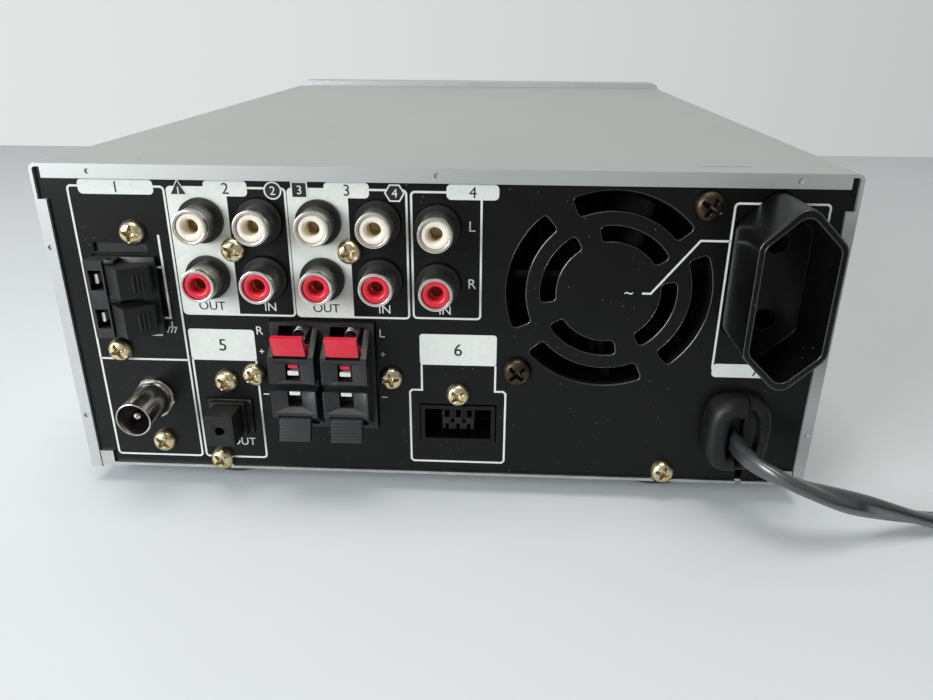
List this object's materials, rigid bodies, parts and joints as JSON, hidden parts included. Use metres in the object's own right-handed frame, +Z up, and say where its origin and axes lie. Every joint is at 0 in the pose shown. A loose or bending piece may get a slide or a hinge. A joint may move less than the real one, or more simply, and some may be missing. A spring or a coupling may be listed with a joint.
{
  "type": "cd receiver",
  "caption": "Compact CD receiver with a folded steel cover, a disc tray, a volume knob and a rear panel of jacks, terminals, a fan grille and a mains outlet.",
  "frame": {"origin": "on the standing surface, below the middle of the object's box without its cord", "axes": "+Z up, -Y out of the front with the disc tray, +Y out of the rear panel, +X to the right when seen from the front"},
  "size_m": [0.359, 0.3672, 0.0891],
  "materials": {
    "cover_paint": "satin silver-grey paint",
    "plated_steel": "zinc plated",
    "black_paint": "satin black paint",
    "front_plastic": "satin silver",
    "smoked_window": "smoked",
    "foot_rubber": "matte",
    "yellow_zinc": "yellow zinc plated",
    "brown_steel": "dark brown oxide",
    "circuit_board": "lacquered",
    "black_plastic": "satin",
    "grey_plastic": "satin",
    "nickel": "polished nickel",
    "ivory_plastic": "polished",
    "red_plastic": "polished",
    "white_plastic": "satin",
    "brass": "plain",
    "cord_rubber": "matte",
    "spring_steel": "bright",
    "iron_core": "varnished",
    "fin_aluminium": "extruded",
    "motor_steel": "plated",
    "knob_metal": "turned"
  },
  "bodies": {
    "case": {"chassis_base": "plated_steel", "top_cover": "cover_paint", "rear_panel": "black_paint", "front_panel": "front_plastic", "display_window": "smoked_window", "feet": "foot_rubber", "rear_screws": "yellow_zinc", "dark_screws": "brown_steel", "front_board": "circuit_board", "headphone_jack": "black_plastic", "line_jack_blocks": "black_plastic", "line_jack_shells": "nickel", "white_inserts": "ivory_plastic", "red_inserts": "red_plastic", "antenna_terminal": "grey_plastic", "coax_connector": "nickel", "coax_insulator": "white_plastic", "tuner_pack": "plated_steel", "optical_jack": "black_plastic", "speaker_terminal": "black_plastic", "terminal_contacts": "nickel", "left_lever_spring": "spring_steel", "right_lever_spring": "spring_steel", "system_socket": "black_plastic", "outlet_body": "black_plastic", "outlet_contacts": "brass", "strain_relief": "black_plastic", "power_cord": "cord_rubber", "cord_coil": "cord_rubber", "cord_tie": "black_plastic", "mains_plug": "black_plastic", "fan_frame": "black_plastic", "heat_sink": "fin_aluminium", "power_transformer": "iron_core", "main_board": "circuit_board", "cd_deck": "black_plastic", "deck_motors": "motor_steel", "sled_rails": "plated_steel", "clamp_bridge": "plated_steel"},
    "tray": {"tray": "black_plastic", "tray_lid": "front_plastic"},
    "tray_gear": {"tray_gear": "white_plastic"},
    "turntable": {"turntable": "black_plastic"},
    "disc_clamp": {"disc_clamp": "black_plastic"},
    "pickup_sled": {"pickup_sled": "black_plastic"},
    "sled_gear": {"sled_gear": "white_plastic"},
    "fan_rotor": {"fan_rotor": "black_plastic"},
    "volume_knob": {"volume_knob": "knob_metal"},
    "power_button": {"power_button": "front_plastic"},
    "eject_button": {"eject_button": "front_plastic"},
    "play_button": {"play_button": "front_plastic"},
    "stop_button": {"stop_button": "front_plastic"},
    "source_button": {"source_button": "front_plastic"},
    "left_red_lever": {"left_red_lever": "red_plastic"},
    "right_red_lever": {"right_red_lever": "red_plastic"},
    "left_black_lever": {"left_black_lever": "black_plastic"},
    "right_black_lever": {"right_black_lever": "black_plastic"},
    "upper_antenna_lever": {"upper_antenna_lever": "black_plastic"},
    "lower_antenna_lever": {"lower_antenna_lever": "black_plastic"},
    "dust_cap": {"dust_cap": "grey_plastic"}
  },
  "joints": [
    {"name": "tray_slide", "type": "slide", "parent": "case", "child": "tray", "axis": [0, -1, 0], "range_m": [0, 0.135]},
    {"name": "tray_gear_turn", "type": "hinge", "parent": "case", "child": "tray_gear", "pos_m": [0.041, -0.1048, 0.0618], "axis": [0, 0, 1], "range_deg": [-860, 0]},
    {"name": "turntable_spin", "type": "hinge", "parent": "case", "child": "turntable", "pos_m": [0, -0.0611, 0.066], "axis": [0, 0, 1], "continuous": true},
    {"name": "disc_clamp_spin", "type": "hinge", "parent": "case", "child": "disc_clamp", "pos_m": [0, -0.0611, 0.076], "axis": [0, 0, 1], "continuous": true},
    {"name": "sled_slide", "type": "slide", "parent": "case", "child": "pickup_sled", "axis": [0, 1, 0], "range_m": [0, 0.034]},
    {"name": "sled_gear_turn", "type": "hinge", "parent": "case", "child": "sled_gear", "pos_m": [0.03395, -0.0091, 0.054], "axis": [0, 0, 1], "range_deg": [-325, 0]},
    {"name": "fan_spin", "type": "hinge", "parent": "case", "child": "fan_rotor", "pos_m": [-0.0408, 0.121, 0.0577], "axis": [0, 1, 0], "continuous": true},
    {"name": "volume_turn", "type": "hinge", "parent": "case", "child": "volume_knob", "pos_m": [0.062, -0.1401, 0.034], "axis": [0, 1, 0], "range_deg": [-150, 150]},
    {"name": "power_press", "type": "slide", "parent": "case", "child": "power_button", "axis": [0, 1, 0], "range_m": [0, 0.0012], "stiffness_N_per_m": 300},
    {"name": "eject_press", "type": "slide", "parent": "case", "child": "eject_button", "axis": [0, 1, 0], "range_m": [0, 0.0012], "stiffness_N_per_m": 300},
    {"name": "play_press", "type": "slide", "parent": "case", "child": "play_button", "axis": [0, 1, 0], "range_m": [0, 0.0012], "stiffness_N_per_m": 300},
    {"name": "stop_press", "type": "slide", "parent": "case", "child": "stop_button", "axis": [0, 1, 0], "range_m": [0, 0.0012], "stiffness_N_per_m": 300},
    {"name": "source_press", "type": "slide", "parent": "case", "child": "source_button", "axis": [0, 1, 0], "range_m": [0, 0.0012], "stiffness_N_per_m": 300},
    {"name": "left_red_press", "type": "hinge", "parent": "case", "child": "left_red_lever", "pos_m": [0.03535, 0.1349, 0.0433], "axis": [1, 0, 0], "range_deg": [0, 12], "stiffness_Nm_per_rad": 0.05, "deforming": ["left_lever_spring"]},
    {"name": "left_black_press", "type": "hinge", "parent": "case", "child": "left_black_lever", "pos_m": [0.03535, 0.1349, 0.0253], "axis": [-1, 0, 0], "range_deg": [0, 12], "stiffness_Nm_per_rad": 0.05},
    {"name": "right_red_press", "type": "hinge", "parent": "case", "child": "right_red_lever", "pos_m": [0.02245, 0.1349, 0.0433], "axis": [1, 0, 0], "range_deg": [0, 12], "stiffness_Nm_per_rad": 0.05, "deforming": ["right_lever_spring"]},
    {"name": "right_black_press", "type": "hinge", "parent": "case", "child": "right_black_lever", "pos_m": [0.02245, 0.1349, 0.0253], "axis": [-1, 0, 0], "range_deg": [0, 12], "stiffness_Nm_per_rad": 0.05},
    {"name": "upper_antenna_press", "type": "hinge", "parent": "case", "child": "upper_antenna_lever", "pos_m": [0.0785, 0.132, 0.0597], "axis": [0, 0, 1], "range_deg": [0, 8], "stiffness_Nm_per_rad": 0.05},
    {"name": "lower_antenna_press", "type": "hinge", "parent": "case", "child": "lower_antenna_lever", "pos_m": [0.0785, 0.132, 0.0499], "axis": [0, 0, 1], "range_deg": [0, 8], "stiffness_Nm_per_rad": 0.05},
    {"name": "dust_cap_pull", "type": "slide", "parent": "case", "child": "dust_cap", "axis": [0, 1, 0], "range_m": [0, 0.02]}
  ],
  "couplings": [
    {"joint": "tray_gear_turn", "follows": "tray_slide", "rad_per_m": -111.11},
    {"joint": "disc_clamp_spin", "follows": "turntable_spin", "ratio": 1},
    {"joint": "sled_gear_turn", "follows": "sled_slide", "rad_per_m": -166.67}
  ]
}
